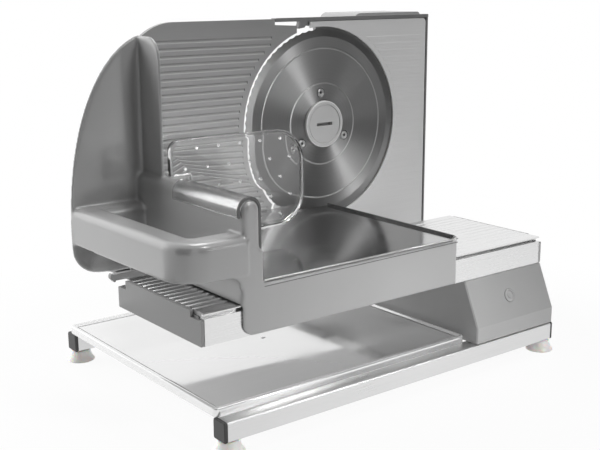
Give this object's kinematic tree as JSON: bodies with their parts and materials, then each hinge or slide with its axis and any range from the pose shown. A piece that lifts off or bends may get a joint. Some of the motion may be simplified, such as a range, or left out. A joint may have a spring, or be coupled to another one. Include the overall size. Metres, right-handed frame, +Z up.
{
  "type": "food slicer",
  "caption": "Electric food slicer with a round serrated blade, sliding carriage with leftover holder, ribbed stop plate with thickness knob, bench on rails, suction feet and drip tray.",
  "frame": {"origin": "on the surface the slicer stands on, under the middle of its footprint", "axes": "+X along the carriage travel towards the motor housing, +Y away from the user, +Z up"},
  "size_m": [0.3906, 0.2516, 0.2871],
  "materials": {
    "rail_aluminium": "satin anodised extrusion",
    "bench_aluminium": "fine satin anodised extrusion",
    "frame_aluminium": "grey lacquered die casting",
    "cover_aluminium": "satin ribbed sheet",
    "stop_aluminium": "grey lacquered ribbed casting",
    "tray_steel": "polished stainless sheet",
    "sheet_steel": "zinc plated sheet",
    "blade_steel": "radially ground stainless",
    "shaft_steel": "turned steel",
    "bush_brass": "turned bearing bronze",
    "housing_grey": "semi gloss moulded plastic",
    "cap_grey": "moulded plastic",
    "rear_plastic": "moulded plastic",
    "lock_plastic": "moulded plastic",
    "gear_plastic": "moulded gear plastic",
    "black_plastic": "moulded plastic",
    "foot_rubber": "milky soft plastic",
    "clear_plastic": "clear moulded plastic"
  },
  "bodies": {
    "base": {"front_rail": "rail_aluminium", "rear_rail": "rail_aluminium", "front_rail_cap_left": "black_plastic", "front_rail_cap_right": "black_plastic", "rear_rail_cap_left": "black_plastic", "rear_rail_cap_right": "black_plastic", "suction_foot_front_left": "foot_rubber", "suction_foot_front_right": "foot_rubber", "suction_foot_rear_left": "foot_rubber", "suction_foot_rear_right": "foot_rubber", "bench_extrusion": "bench_aluminium", "bench_cap_left": "cap_grey", "bench_cap_right": "cap_grey", "motor_housing": "housing_grey", "housing_base_plate": "sheet_steel", "switch_body": "black_plastic", "cable_gland": "black_plastic", "blade_frame": "frame_aluminium", "cover_plate": "cover_aluminium", "rear_housing": "rear_plastic", "bearing_bush": "bush_brass", "motor": "sheet_steel", "worm_bearing": "black_plastic", "guide_beam": "rail_aluminium", "stop_guide_block": "black_plastic"},
    "blade_unit": {"blade": "blade_steel", "blade_screw_1": "shaft_steel", "blade_screw_2": "shaft_steel", "blade_screw_3": "shaft_steel", "blade_shaft": "shaft_steel", "worm_wheel": "gear_plastic"},
    "lock_cap": {"blade_lock_cap": "lock_plastic"},
    "worm": {"worm_spindle": "shaft_steel"},
    "carriage": {"carriage_body": "housing_grey", "carriage_floor": "tray_steel"},
    "holder": {"leftover_holder": "clear_plastic", "holder_plate": "clear_plastic"},
    "stop": {"stop_plate": "stop_aluminium", "stop_rod_left": "shaft_steel", "stop_rod_right": "shaft_steel"},
    "knob": {"thickness_knob": "black_plastic"},
    "tray": {"drip_tray": "tray_steel"},
    "button": {"switch_button": "housing_grey"}
  },
  "joints": [
    {"name": "blade_spin", "type": "hinge", "parent": "base", "child": "blade_unit", "pos_m": [0.06425, 0.0604, 0.1896], "axis": [0, 1, 0], "continuous": true},
    {"name": "worm_spin", "type": "hinge", "parent": "base", "child": "worm", "pos_m": [0.09225, 0.0881, 0.1896], "axis": [0, 0, 1], "continuous": true},
    {"name": "lock_turn", "type": "hinge", "parent": "blade_unit", "child": "lock_cap", "pos_m": [0.06425, 0.0604, 0.1896], "axis": [0, 1, 0], "range_deg": [0, 90]},
    {"name": "carriage_slide", "type": "slide", "parent": "base", "child": "carriage", "axis": [1, 0, 0], "range_m": [-0.025, 0.095]},
    {"name": "holder_slide", "type": "slide", "parent": "carriage", "child": "holder", "axis": [0, 1, 0], "range_m": [0, 0.0215]},
    {"name": "knob_turn", "type": "hinge", "parent": "base", "child": "knob", "pos_m": [-0.08075, 0.1054, 0.1096], "axis": [0, 1, 0], "range_deg": [0, 300]},
    {"name": "stop_slide", "type": "slide", "parent": "base", "child": "stop", "axis": [0, 1, 0], "range_m": [0, 0.015]},
    {"name": "tray_pull", "type": "slide", "parent": "base", "child": "tray", "axis": [1, 0, 0], "range_m": [-0.18, 0]},
    {"name": "button_press", "type": "slide", "parent": "base", "child": "button", "axis": [0, 0.9189, -0.3945], "range_m": [0, 0.002], "stiffness_N_per_m": 400}
  ],
  "couplings": [
    {"joint": "worm_spin", "follows": "blade_spin", "ratio": 28},
    {"joint": "knob_turn", "follows": "stop_slide", "rad_per_m": 349.07}
  ]
}
